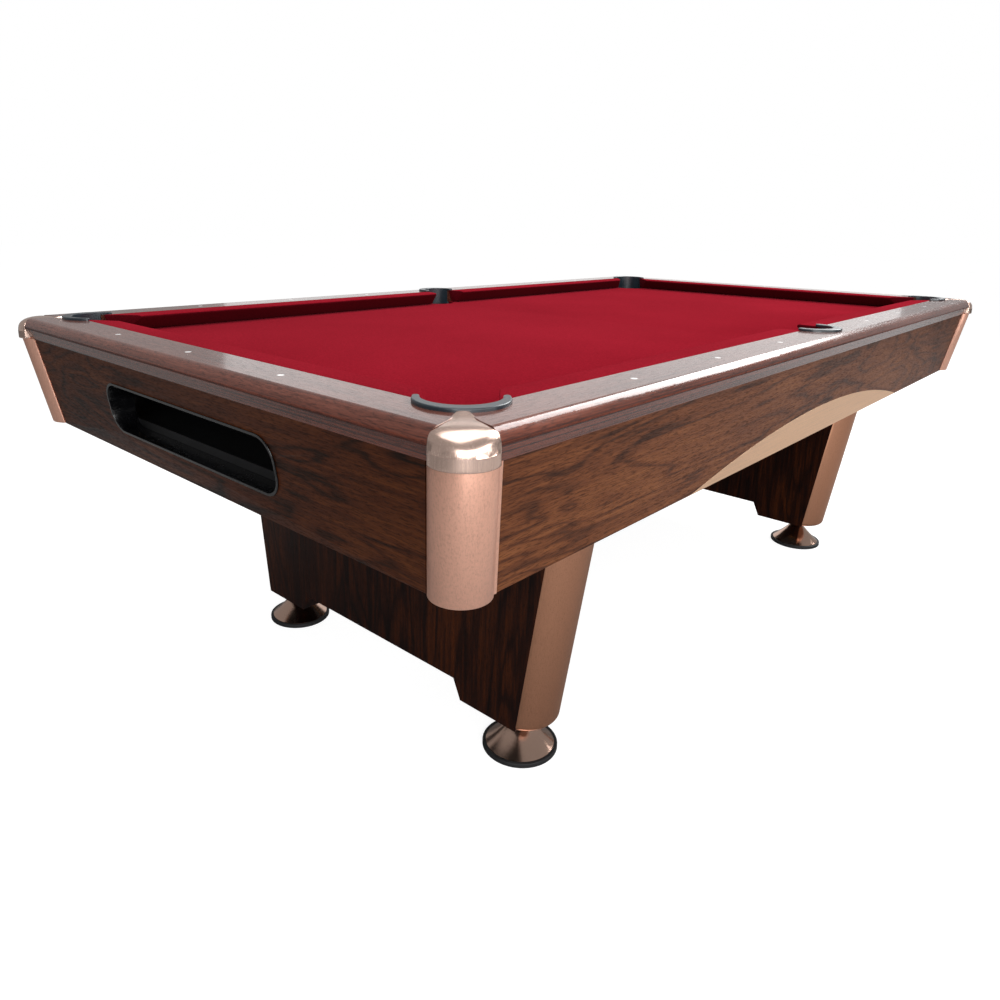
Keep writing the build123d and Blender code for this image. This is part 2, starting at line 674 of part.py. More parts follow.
def make_ball_runways():
    """A sloping channel under the pockets of each long side."""
    def run_z(x):
        share = (x - RUN_NEAR_X) / (RUN_FAR_X - RUN_NEAR_X)
        return RUN_NEAR_Z + share * (RUN_FAR_Z - RUN_NEAR_Z)

    def strip(low, high, y0, y1):
        points = [
            (RUN_NEAR_X, run_z(RUN_NEAR_X) + low),
            (RUN_FAR_X, run_z(RUN_FAR_X) + low),
            (RUN_FAR_X, run_z(RUN_FAR_X) + high),
            (RUN_NEAR_X, run_z(RUN_NEAR_X) + high),
        ]
        return prism_y(points, y0, y1)

    inner = RUN_Y - RUN_WIDTH / 2
    outer = RUN_Y + RUN_WIDTH / 2
    wall = 22.0
    run = strip(-SHEET, 0, inner - SHEET, outer + SHEET)
    run += strip(-SHEET, wall, inner - SHEET, inner)
    run += strip(-SHEET, wall, outer, outer + SHEET)
    run += block(RUN_FAR_X - SHEET, RUN_FAR_X, inner - SHEET, outer + SHEET,
                 RUN_FAR_Z - SHEET, RUN_FAR_Z + wall)
    hanger = 30.0
    for x in (-900.0, -200.0, 200.0, 900.0):
        run += block(x - hanger / 2, x + hanger / 2, outer, outer + SHEET, run_z(x), CLEAT_LOW)
        run += block(x - hanger / 2, x + hanger / 2, outer, outer + 30.0, CLEAT_LOW - SHEET, CLEAT_LOW)
    runs = both_sides(run)
    save(Compound(children=[s for r in runs for s in r.solids()]), "ball_runways")


def make_ball_tray():
    """Trough behind the window, filled by both runways."""
    half = RUN_Y + RUN_WIDTH / 2 + SHEET
    under = TRAY_FLOOR - SHEET
    run_edge = RUN_Y - RUN_WIDTH / 2 - SHEET
    tray = block(-1300, TRAY_BACK, -half, half, under, TRAY_FLOOR) & tapered_body(APRON, APRON)
    tray += block(TRAY_BACK - SHEET, TRAY_BACK, -run_edge, run_edge, under, 700.0)
    tray += block(TRAY_BACK - SHEET, TRAY_BACK, -half, half, under, RUN_NEAR_Z - SHEET)
    tray += block(TRAY_FRONT, TRAY_FRONT + SHEET, -half, half, under, TRAY_LIP)
    for sign in (-1, 1):
        y0, y1 = sorted((sign * half, sign * (half - SHEET)))
        tray += block(TRAY_FRONT, TRAY_BACK, y0, y1, under, 690.0)
    corner = 93.0                         # the pillars' backs are just beyond this diagonal
    for sign in (-1, 1):
        tray -= to_quadrant(at_corner(block(corner, 300, -300, 300, 500, 760)), -1, sign)
    plate = at_corner(block(corner - SHEET, corner, -200, 200, under, 660.0))
    for sign in (-1, 1):
        inside = block(TRAY_FRONT, TRAY_BACK, *sorted((0, sign * half)), under, 700)
        tray += to_quadrant(plate, -1, sign) & inside
    save(tray, "ball_tray")


# ---- Pedestals ---------------------------------------------------------------

def leg_edge(z):
    return LEG_FACE_LOW + (z - LEG_BOTTOM) * LEG_SLOPE


def make_posts():
    foot = Pos(0, FOOT_Y, LEG_BOTTOM)
    stem_bore = foot * Cylinder(STEM_RADIUS + 1, STEM_REACH + 30, align=BOTTOM_UP)
    insert_bore = foot * Cylinder(INSERT_RADIUS, INSERT_LENGTH, align=BOTTOM_UP)
    points = [
        (leg_edge(LEG_BOTTOM), LEG_BOTTOM),
        (LEG_STEP[1], LEG_BOTTOM),
        (LEG_STEP[0], PANEL_BOTTOM),
        (LEG_STEP[0], LEG_TOP),
        (leg_edge(LEG_TOP), LEG_TOP),
    ]
    post = prism_x(points, -LEG_THICK / 2, LEG_THICK / 2) - stem_bore - insert_bore
    for dx in (-LEG_BOLT_STEP, LEG_BOLT_STEP):
        post -= Pos(dx, LEG_BOLT_Y, LEG_TOP) * Cylinder(BOLT_RADIUS, 150)
    for sx, place in SIDES:
        for sy, hand in HANDS:
            moved = Pos(sx * LEG_X, 0, 0) * to_quadrant(post, 1, sy)
            save(moved, f"leg_post_{place}_{hand}")


def make_panels():
    """Veneered box between the two posts, open at the top inside the cabinet."""
    half_x = LEG_THICK / 2
    half_y = LEG_STEP[0]
    outer = block(-half_x, half_x, -half_y, half_y, PANEL_BOTTOM, LEG_TOP)
    inner = block(-half_x + PANEL_SKIN, half_x - PANEL_SKIN, -half_y + PANEL_SKIN,
                  half_y - PANEL_SKIN, PANEL_BOTTOM + PANEL_SKIN, LEG_TOP + 1)
    for sx, place in SIDES:
        save(Pos(sx * LEG_X, 0, 0) * (outer - inner), f"pedestal_panel_{place}")


def cover_outline(bulge, half):
    """D-shaped section of the leg cover: chord along X, bulging towards +Y."""
    arc = ThreePointArc((-half, 0), (0, bulge), (half, 0))
    return make_face(arc + Line((half, 0), (-half, 0)))


def make_covers():
    """Bent metal cover that leans out with the post; closed at the foot."""
    half = LEG_THICK / 2

    def leaning(face, low, high):
        length = (high - low) * hypot(1, LEG_SLOPE)
        base = Pos(0, leg_edge(low), low) * face
        return extrude(base, amount=length, dir=(0, LEG_SLOPE, 1))

    outer = leaning(cover_outline(COVER_BULGE, half), LEG_BOTTOM, COVER_TOP)
    low_arc = outer.edges().filter_by(GeomType.CIRCLE).sort_by(Axis.Z)[0]
    outer = fillet(low_arc, 14.0)
    hollow = cover_outline(COVER_BULGE - COVER_WALL, half - 6)
    inner = leaning(hollow, LEG_BOTTOM + 16, COVER_TOP + 10)
    cover = outer - inner
    for sx, place in SIDES:
        for sy, hand in HANDS:
            moved = Pos(sx * LEG_X, 0, 0) * to_quadrant(cover, 1, sy)
            save(moved, f"leg_cover_{place}_{hand}")


# ---- Levelling feet ----------------------------------------------------------

def foot_pad():
    pad = Cylinder(FOOT_RADIUS, PAD_HEIGHT, align=BOTTOM_UP)
    recess = Pos(0, 0, CONE_BOTTOM) * Cylinder(CONE_BASE + 0.4, PAD_HEIGHT, align=BOTTOM_UP)
    return fillet(pad.edges().filter_by(GeomType.CIRCLE), 2.0) - recess


def foot_cone():
    """Spun cone on a flat base, with a blind socket for the stem."""
    brim = (CONE_BASE, PAD_HEIGHT + 0.5)
    profile = (
        Polyline((0, STEM_SEAT), (0, CONE_BOTTOM), (CONE_BASE, CONE_BOTTOM), brim)
        + ThreePointArc(brim, CONE_WAIST, CONE_TOP)
        + Polyline(CONE_TOP, (CONE_TOP[0], NECK_TOP), (STEM_RADIUS, NECK_TOP),
                   (STEM_RADIUS, STEM_SEAT), (0, STEM_SEAT))
    )
    return revolve(make_face(Plane.XZ * profile), Axis.Z)


def foot_stem():
    """Threaded stem, shown plain: its screw motion is carried by the joints."""
    low = STEM_SEAT + 0.3
    high = LEG_BOTTOM + STEM_REACH
    return Pos(0, 0, low) * Cylinder(STEM_RADIUS - STEM_FIT, high - low, align=BOTTOM_UP)


def thread_insert():
    flange_height = 2.0
    body = Pos(0, 0, LEG_BOTTOM) * Cylinder(INSERT_RADIUS, INSERT_LENGTH, align=BOTTOM_UP)
    flange = Pos(0, 0, LEG_BOTTOM - flange_height) * Cylinder(22.0, flange_height, align=BOTTOM_UP)
    bore = Pos(0, 0, LEG_BOTTOM) * Cylinder(STEM_RADIUS, 200)
    return body + flange - bore


def make_feet():
    inserts = []
    for sx, place in SIDES:
        for sy, hand in HANDS:
            where = Pos(sx * LEG_X, sy * FOOT_Y, 0)
            save(where * foot_pad(), f"foot_pad_{place}_{hand}")
            save(where * foot_cone(), f"foot_cone_{place}_{hand}")
            save(where * foot_stem(), f"foot_stem_{place}_{hand}")
            inserts.append(where * thread_insert())
    save(Compound(children=[s for p in inserts for s in p.solids()]), "foot_thread_inserts")


# ---- Build -------------------------------------------------------------------

os.makedirs("parts", exist_ok=True)
make_bed()
make_rails()
make_cushions()
make_castings()
make_pocket_liners()
make_aprons()
make_window_frame()
make_pillars()
make_support_beams()
make_bolts()
make_ball_runways()
make_ball_tray()
make_posts()
make_panels()
make_covers()
make_feet()
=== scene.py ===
from math import atan2, cos, exp, log, pi, radians, sin, sqrt

import bmesh
import bpy
from mathutils import Matrix, Vector


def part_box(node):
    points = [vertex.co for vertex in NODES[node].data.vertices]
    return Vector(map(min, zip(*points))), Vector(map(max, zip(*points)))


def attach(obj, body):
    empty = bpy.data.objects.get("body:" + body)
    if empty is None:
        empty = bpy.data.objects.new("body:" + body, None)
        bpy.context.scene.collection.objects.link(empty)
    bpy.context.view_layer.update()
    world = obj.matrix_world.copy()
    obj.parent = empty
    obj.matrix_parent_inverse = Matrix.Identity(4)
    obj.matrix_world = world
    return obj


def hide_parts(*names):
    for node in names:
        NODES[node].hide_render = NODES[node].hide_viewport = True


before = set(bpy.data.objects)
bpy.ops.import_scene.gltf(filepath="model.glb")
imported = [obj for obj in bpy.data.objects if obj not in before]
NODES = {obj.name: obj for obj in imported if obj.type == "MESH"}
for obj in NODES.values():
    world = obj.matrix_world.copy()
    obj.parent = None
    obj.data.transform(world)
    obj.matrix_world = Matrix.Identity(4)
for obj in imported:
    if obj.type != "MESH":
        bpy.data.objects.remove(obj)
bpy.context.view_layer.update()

SCENE = bpy.context.scene

# ---- Places taken from the frame ------------------------------------------------
# Metres. +X runs away from the ball window, +Y to the left, +Z up.

CLOTH_PAST_NOSE = 0.090                    # bed cloth beyond the cushion nose
BED_LOW, BED_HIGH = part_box("bed_cloth")
HALF_X = BED_HIGH.x - CLOTH_PAST_NOSE      # half playing sizes
HALF_Y = BED_HIGH.y - CLOTH_PAST_NOSE
BED_TOP = BED_HIGH.z
RAIL_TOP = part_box("side_rail_left")[1].z
LIP_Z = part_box("corner_casting_near_left")[0].z

ENDS = ((-1, "near"), (1, "far"))
HANDS = ((-1, "right"), (1, "left"))
CORNERS = [(sx, sy, f"{place}_{hand}") for sx, place in ENDS for sy, hand in HANDS]


# ---- Shader helpers -------------------------------------------------------------

def tone(red, green, blue):
    """Linear colour from display values of 0 to 255."""
    def linear(value):
        value /= 255
        return value / 12.92 if value <= 0.04045 else ((value + 0.055) / 1.055) ** 2.4
    return (linear(red), linear(green), linear(blue), 1.0)


class Look:
    """A Principled material with short ways to add nodes to it."""

    def __init__(self, name, **constants):
        self.material = bpy.data.materials.new(name)
        self.material.use_nodes = True
        self.tree = self.material.node_tree
        self.shader = self.tree.nodes["Principled BSDF"]
        for socket, value in constants.items():
            self.shader.inputs[socket.replace("_", " ")].default_value = value

    def node(self, kind, **settings):
        made = self.tree.nodes.new("ShaderNode" + kind)
        for key, value in settings.items():
            setattr(made, key, value)
        return made

    def plug(self, socket, value):
        """Link a socket to another, or set its value."""
        if isinstance(value, bpy.types.NodeSocket):
            self.tree.links.new(value, socket)
        else:
            socket.default_value = value

    def stretched(self, scale):
        """The piece's own coordinates, scaled along each axis."""
        coordinates = self.node("TexCoord")
        mapping = self.node("Mapping")
        self.plug(mapping.inputs["Vector"], coordinates.outputs["Object"])
        mapping.inputs["Scale"].default_value = scale
        return mapping.outputs["Vector"]

    def noise(self, scale, detail=3.0, roughness=0.5, distortion=0.0):
        made = self.node("TexNoise")
        self.plug(made.inputs["Vector"], self.stretched(scale))
        made.inputs["Scale"].default_value = 1.0
        made.inputs["Detail"].default_value = detail
        made.inputs["Roughness"].default_value = roughness
        made.inputs["Distortion"].default_value = distortion
        return made.outputs["Fac"]

    def upward(self):
        """How far the surface faces up, from -1 to 1."""
        surface = self.node("NewGeometry")
        parts = self.node("SeparateXYZ")
        self.plug(parts.inputs[0], surface.outputs["Normal"])
        return parts.outputs["Z"]

    def math(self, operation, first, second=0.0):
        made = self.node("Math", operation=operation)
        self.plug(made.inputs[0], first)
        self.plug(made.inputs[1], second)
        return made.outputs[0]

    def span(self, value, low, high, to_low=0.0, to_high=1.0):
        """Map low..high onto to_low..to_high, clamped."""
        made = self.node("MapRange")
        self.plug(made.inputs["Value"], value)
        for socket, number in (("From Min", low), ("From Max", high),
                               ("To Min", to_low), ("To Max", to_high)):
            made.inputs[socket].default_value = number
        return made.outputs["Result"]

    def ramp(self, value, *stops):
        made = self.node("ValToRGB")
        self.plug(made.inputs["Fac"], value)
        points = made.color_ramp.elements
        for position, colour in stops[2:]:
            points.new(position)
        for point, (position, colour) in zip(points, sorted(stops)):
            point.position = position
            point.color = colour
        return made.outputs["Color"]

    def blend(self, share, first, second, mode="MIX"):
        made = self.node("MixRGB", blend_type=mode)
        for socket, value in zip(("Fac", "Color1", "Color2"), (share, first, second)):
            self.plug(made.inputs[socket], value)
        return made.outputs["Color"]

    def colour(self, value):
        self.plug(self.shader.inputs["Base Color"], value)

    def roughness(self, value):
        self.plug(self.shader.inputs["Roughness"], value)

    def bump(self, height, distance, strength=1.0):
        made = self.node("Bump")
        made.inputs["Distance"].default_value = distance
        made.inputs["Strength"].default_value = strength
        self.plug(made.inputs["Height"], height)
        self.plug(self.shader.inputs["Normal"], made.outputs["Normal"])


def along(grain, length, across):
    """Scale that stretches a texture along axis number grain."""
    scale = [across] * 3
    scale[grain] = length
    return tuple(scale)


# ---- Materials ------------------------------------------------------------------

def wood(name, grain, tones, rings, line_width, figure, shine, coat=0.0, moulding=None):
    """Veneer: growth rings cut on the flat, long streaks and fine open pores.

    moulding, a dark and a light tone, colours upright faces with fine lines along the grain.
    """
    look = Look(name, Coat_Weight=coat, Coat_Roughness=0.10, Specular_IOR_Level=0.12)
    dark, middle, light = tones
    shape = look.noise(along(grain, 1.5, 9.5), 2.0, 0.45, 0.9)
    ripple = look.noise(along(grain, 11.0, 130.0), 3.0)
    turns = look.math("ADD", look.math("MULTIPLY", shape, rings), look.math("MULTIPLY", ripple, 0.6))
    wave = look.math("SINE", look.math("MULTIPLY", turns, 2 * pi))
    bands = look.math("MULTIPLY", wave, 0.5 * figure)
    rims = look.span(wave, -1.0, -0.55, -figure, 0.0)
    streaks = look.noise(along(grain, 6.0, 1.0 / line_width), 5.0, 0.68)
    patches = look.noise(along(grain, 1.6, 5.0), 2.0)
    level = look.math("ADD", look.span(streaks, 0.25, 0.75, 0.22, 0.78), bands)
    level = look.math("ADD", level, rims)
    level = look.math("ADD", level, look.span(patches, 0.25, 0.75, -0.20, 0.20))
    body = look.ramp(level, (0.12, dark), (0.5, middle), (0.9, light))
    pores = look.noise(along(grain, 60.0, 560.0), 2.0, 0.6)
    shade = look.ramp(pores, (0.36, (0.42, 0.40, 0.40, 1)), (0.50, (1, 1, 1, 1)))
    if moulding:
        lines = look.noise(along(grain, 1.2, 340.0), 2.0, 0.6)
        edge = look.ramp(lines, (0.40, moulding[0]), (0.54, moulding[1]))
        body = look.blend(look.span(look.upward(), 0.05, 0.55), edge, body)
    look.colour(look.blend(0.85, body, shade, "MULTIPLY"))
    look.roughness(look.span(pores, 0.3, 0.6, shine + 0.16, shine))
    look.bump(look.span(pores, 0.32, 0.5), 0.0002, 0.35)
    return look.material


def brushed(name, colour, shine, grain, fine, speckle, turn=0.0, metal=1.0):
    """Brushed metal or metallic laminate with its strokes along axis number grain."""
    look = Look(name, Metallic=metal, Anisotropic=turn)
    strokes = look.noise(along(grain, 5.0, fine), 4.0, 0.65)
    grit = look.noise((speckle, speckle, speckle), 3.0, 0.7)
    deep = tuple(0.80 * c for c in colour[:3]) + (1,)
    pale = tuple(min(1.0, 1.08 * c) for c in colour[:3]) + (1,)
    mixed = look.math("ADD", look.math("MULTIPLY", strokes, 0.55), look.math("MULTIPLY", grit, 0.45))
    look.colour(look.ramp(mixed, (0.34, deep), (0.5, colour), (0.66, pale)))
    look.roughness(look.span(mixed, 0.3, 0.7, shine - 0.05, shine + 0.09))
    look.bump(mixed, 0.00025, 0.4)
    return look.material


def cloth_look():
    """Worsted cloth: a tight napped weave with a faint mottle, and painted shade where it turns off the
    level.
    """
    look = Look("red_worsted_with_painted_shade", Sheen_Weight=0.05, Sheen_Roughness=0.4, Specular_IOR_Level=0.0,
                Sheen_Tint=(0.9, 0.16, 0.22, 1.0))
    threads = look.noise((1500.0, 1100.0, 1300.0), 2.0, 0.6)
    nap = look.noise((260.0, 260.0, 260.0), 4.0, 0.65)
    drift = look.noise((2.2, 2.2, 2.2), 2.0)
    level = look.math("ADD", look.math("MULTIPLY", threads, 0.5), look.math("MULTIPLY", nap, 0.5))
    level = look.math("ADD", level, look.span(drift, 0.3, 0.7, -0.05, 0.05))
    flat = look.ramp(level, (0.30, tone(98, 10, 20)), (0.5, tone(120, 16, 28)), (0.70, tone(140, 25, 39)))
    # painted shade: darker tones on faces that turn off the level, standing in for the shadow under the
    # cushion noses
    turned = look.ramp(level, (0.30, tone(54, 4, 10)), (0.70, tone(82, 11, 19)))
    look.colour(look.blend(look.span(look.upward(), 0.25, 0.85), turned, flat))
    look.roughness(look.span(nap, 0.3, 0.7, 0.82, 0.97))
    look.bump(level, 0.0004, 0.5)
    return look.material


def moulded(name, low, high, shine, grain_size, depth, coat=0.0):
    """Moulded plastic or rubber with a fine surface texture."""
    look = Look(name, Coat_Weight=coat, Coat_Roughness=0.06)
    pits = look.noise((grain_size,) * 3, 3.0, 0.6)
    scuffs = look.noise((34.0, 34.0, 34.0), 5.0, 0.7)
    look.colour(look.ramp(look.math("ADD", look.math("MULTIPLY", pits, 0.4),
                                    look.math("MULTIPLY", scuffs, 0.6)),
                          (0.38, low), (0.62, high)))
    look.roughness(look.span(scuffs, 0.3, 0.7, shine, shine + 0.1))
    look.bump(pits, depth, 0.5)
    return look.material


def stone_look():
    look = Look("honed_slate", Specular_IOR_Level=0.35)
    layers = look.noise((3.0, 3.0, 160.0), 6.0, 0.6)
    cloud = look.noise((14.0, 14.0, 14.0), 6.0, 0.65)
    level = look.math("ADD", look.math("MULTIPLY", layers, 0.4), look.math("MULTIPLY", cloud, 0.6))
    look.colour(look.ramp(level, (0.35, tone(52, 56, 60)), (0.65, tone(96, 101, 106))))
    look.roughness(look.span(cloud, 0.3, 0.7, 0.55, 0.75))
    look.bump(level, 0.0006, 0.4)
    return look.material


def pearl_look():
    look = Look("pearl_inlay", Coat_Weight=0.6, Coat_Roughness=0.05, Sheen_Weight=0.1)
    swirl = look.noise((320.0, 320.0, 320.0), 4.0, 0.5, 1.5)
    look.colour(look.ramp(swirl, (0.35, tone(205, 208, 214)), (0.5, tone(240, 240, 236)),
                          (0.65, tone(228, 214, 218))))
    look.roughness(look.span(swirl, 0.3, 0.7, 0.18, 0.32))
    return look.material


WALNUT = (tone(52, 26, 12), tone(92, 50, 26), tone(120, 72, 40))
# painted shade: the apron walnut made darker for the end aprons
END_WALNUT_PAINTED_SHADE = (tone(24, 8, 1), tone(62, 27, 8), tone(88, 46, 18))
RAIL_WALNUT = (tone(66, 34, 26), tone(104, 58, 46), tone(130, 80, 66))
RAIL_MOULDING = (tone(46, 17, 12), tone(98, 48, 34))
DARK_WALNUT = (tone(10, 2, 1), tone(34, 11, 4), tone(70, 31, 8))
PINE = (tone(150, 108, 66), tone(190, 150, 100), tone(214, 182, 136))
COPPER = tone(224, 172, 150)
CHAMPAGNE = tone(238, 206, 190)

MATERIALS = {
    "walnut_x": wood("walnut_long_grain", 0, WALNUT, 9.0, 0.006, 0.18, 0.38, 0.04),
    "walnut_y": wood("walnut_cross_grain_painted_shade", 1, END_WALNUT_PAINTED_SHADE, 9.0, 0.006, 0.18, 0.38, 0.02),
    "rail_x": wood("rail_long_grain", 0, RAIL_WALNUT, 4.0, 0.004, 0.06, 0.20, 0.8, RAIL_MOULDING),
    "rail_y": wood("rail_cross_grain", 1, RAIL_WALNUT, 4.0, 0.004, 0.06, 0.20, 0.8, RAIL_MOULDING),
    "walnut_z": wood("dark_walnut_upright", 2, DARK_WALNUT, 7.0, 0.009, 0.16, 0.34, 0.05),
    "pine": wood("softwood", 1, PINE, 9.0, 0.014, 0.25, 0.55),
    "copper": brushed("brushed_copper_laminate", COPPER, 0.42, 2, 700.0, 260.0, metal=0.75),
    # painted shade: the copper laminate darkened for the leg covers under the table
    "copper_leg_painted_shade": brushed("brushed_copper_cover_painted_shade", tone(190, 138, 110), 0.42, 2, 900.0, 420.0),
    # painted light: the copper laminate brightened for the arch panels, standing in for a grazing reflection
    "copper_x_painted_light": brushed("brushed_copper_long_painted_light", tone(248, 206, 170), 0.42, 0, 900.0, 420.0),
    "champagne": brushed("brushed_champagne", CHAMPAGNE, 0.22, 2, 1000.0, 1300.0),
    "polished_copper": brushed("spun_copper", tone(206, 172, 154), 0.13, 2, 700.0, 900.0, 0.75),
    "zinc": brushed("zinc_plate", tone(186, 190, 196), 0.34, 2, 900.0, 900.0),
    "cloth": cloth_look(),
    "pocket": moulded("pocket_moulding", tone(16, 26, 33), tone(29, 41, 49), 0.30, 900.0, 0.0002, 0.3),
    "gloss": moulded("gloss_black", tone(3, 3, 4), tone(7, 7, 9), 0.20, 700.0, 0.0001, 0.25),
    "sheet": moulded("black_sheet", tone(8, 8, 9), tone(20, 20, 22), 0.42, 500.0, 0.0001),
    "rubber": moulded("black_rubber", tone(10, 10, 11), tone(26, 26, 28), 0.62, 800.0, 0.0003),
    "gum": moulded("gum_rubber", tone(40, 36, 32), tone(60, 54, 48), 0.7, 500.0, 0.0003),
    "slate": stone_look(),
    "pearl": pearl_look(),
}

# Each frame node's material, by the start of its name; the first match counts.
NODE_LOOKS = (
    ("side_apron", "walnut_x"), ("end_apron", "walnut_y"), ("side_rail", "rail_x"),
    ("end_rail", "rail_y"), ("leg_post", "walnut_z"), ("pedestal_panel", "walnut_z"),
    ("slate_support", "pine"), ("slate", "slate"), ("corner_pillar", "copper"),
    ("leg_cover", "copper_leg_painted_shade"), ("arch_panel", "copper_x_painted_light"), ("corner_casting", "champagne"),
    ("foot_cone", "polished_copper"), ("foot_pad", "rubber"), ("foot", "zinc"),
    ("rail_bolts", "zinc"), ("leg_bolts", "zinc"), ("rail_sights", "pearl"),
    ("bed_cloth", "cloth"), ("cushion_cloths", "cloth"), ("cushion_rubbers", "gum"),
    ("pocket_liner", "pocket"), ("ball_window", "gloss"), ("ball", "sheet"),
)


def paint(piece, material):
    """Put one material on every slot of a piece."""
    if not piece.material_slots:
        piece.data.materials.append(MATERIALS[material])
    for slot in piece.material_slots:
        slot.link = "OBJECT"
        slot.material = MATERIALS[material]


def paint_nodes():
    for name, piece in NODES.items():
        look = next(look for start, look in NODE_LOOKS if name.startswith(start))
        paint(piece, look)


# ---- Mesh helpers ---------------------------------------------------------------

def new_piece(name, points, faces, material):
    mesh = bpy.data.meshes.new(name)
    mesh.from_pydata(points, [], faces)
    mesh.update()
    mesh.shade_smooth()
    piece = bpy.data.objects.new(name, mesh)
    SCENE.collection.objects.link(piece)
    mesh.materials.append(MATERIALS[material])
    return piece


def settle(piece, body, slot, *nodes):
    """Attach the piece to what it rides on and hide the frame nodes it stands for; slot, its finish, is not
    used.
    """
    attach(piece, body)
    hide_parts(*nodes)


def grid_faces(rows, columns, first=0):
    """Quads between neighbouring rows of points."""
    faces = []
    for r in range(rows - 1):
        for c in range(columns - 1):
            a = first + r * columns + c
            faces.append((a, a + 1, a + columns + 1, a + columns))
    return faces


# ---- Cloth ----------------------------------------------------------------------

CLOTH_HOLE = {"corner": 0.058, "side": 0.050}          # cut-outs over the pockets
POCKET_IN = {"corner": 0.014, "side": 0.056}           # pocket centres beyond the nose


def bed_outline(spread):
    """Points round the bed cloth, one quadrant after another, and which lie on a pocket's lip.

    spread moves the lip points into their pocket, away from the cloth.
    """
    outer_x, outer_y = BED_HIGH.x, BED_HIGH.y
    corner, side = POCKET_IN["corner"], POCKET_IN["side"]
    points, lips = [], []

    def add(x, y, lip):
        points.append((x, y))
        lips.append(lip)

    steps = 28
    for sx, sy in ((1, 1), (-1, 1), (-1, -1), (1, -1)):
        run = []
        slot = CLOTH_HOLE["corner"]
        reach = CLOTH_PAST_NOSE - slot * sqrt(2)
        run.append((outer_x, HALF_Y + reach, False))
        for k in range(steps + 1):
            angle = pi / 4 - pi / 2 - pi * k / steps
            radius = slot - spread
            run.append((HALF_X + corner + radius * cos(angle), HALF_Y + corner + radius * sin(angle), True))
        run.append((HALF_X + reach, outer_y, False))
        slot = CLOTH_HOLE["side"]
        run.append((slot, outer_y, False))
        for k in range(steps // 2 + 1):
            angle = -pi / 2 * k / (steps // 2)
            radius = slot - spread
            run.append((radius * cos(angle), HALF_Y + side + radius * sin(angle), True))
        if sx * sy < 0:
            run.reverse()
            run = run[1:]
        for x, y, lip in run:
            add(sx * x, sy * y, lip)
    unique, flags = [], []
    for (x, y), lip in zip(points, lips):
        if not unique or (abs(unique[-1][0] - x) + abs(unique[-1][1] - y)) > 1e-6:
            unique.append((x, y))
            flags.append(lip)
    if abs(unique[0][0] - unique[-1][0]) + abs(unique[0][1] - unique[-1][1]) < 1e-6:
        unique.pop()
        flags.pop()
    return unique, flags


def make_bed_cloth():
    """One sheet stretched over the slate, its edges rolled down into the pockets."""
    level = BED_TOP - 0.0003
    rows = ((-0.0022, 0.0), (-0.0008, 0.00015), (0.0002, 0.0007), (0.0007, 0.0018), (0.0009, 0.0040),
            (0.0009, 0.0110))
    rings = [bed_outline(spread)[0] for spread, drop in rows]
    flags = bed_outline(0.0)[1]
    points = []
    for ring, (spread, drop) in zip(rings, rows):
        points += [(x, y, level - drop) for x, y in ring]
    count = len(flags)
    piece = new_piece("bed_cloth_sheet", points[:count], [], "cloth")
    mesh = bmesh.new()
    made = [mesh.verts.new(point) for point in points]
    edges = [mesh.edges.new((made[k], made[(k + 1) % count])) for k in range(count)]
    bmesh.ops.triangle_fill(mesh, edges=edges, use_beauty=True)
    for row in range(len(rows) - 1):
        for k in range(count):
            after = (k + 1) % count
            if flags[k] and flags[after]:
                a, b = row * count + k, row * count + after
                mesh.faces.new((made[a], made[b], made[b + count], made[a + count]))
    loose = [v for v in mesh.verts if not v.link_faces]
    bmesh.ops.delete(mesh, geom=loose, context="VERTS")
    bmesh.ops.recalc_face_normals(mesh, faces=mesh.faces[:])
    if sum(face.normal.z * face.calc_area() for face in mesh.faces) < 0:
        bmesh.ops.reverse_faces(mesh, faces=mesh.faces[:])
    mesh.to_mesh(piece.data)
    mesh.free()
    piece.data.shade_smooth()
    settle(piece, "root", "red_cloth", "bed_cloth")


# Section of a covered cushion: distance out from the nose and height, in millimetres.
CUSHION_SECTION = (
    (55.6, 821.6), (55.3, 823.0), (54.4, 823.8), (52.5, 824.1), (40.0, 824.2), (22.0, 824.0), (9.0, 823.7),
    (5.0, 823.4), (2.8, 822.8), (1.2, 821.8), (0.4, 820.6), (0.1, 819.2), (0.3, 817.9), (1.1, 816.6),
    (3.0, 814.3), (9.0, 807.3), (17.0, 797.9), (24.0, 789.7), (26.0, 787.8), (28.5, 786.9), (32.0, 786.7),
    (46.0, 786.7),
)
CORNER_END = (0.07905, 1.1645)             # cushion end from the playfield corner, at the nose and per depth
SIDE_END = (0.0635, 0.245)


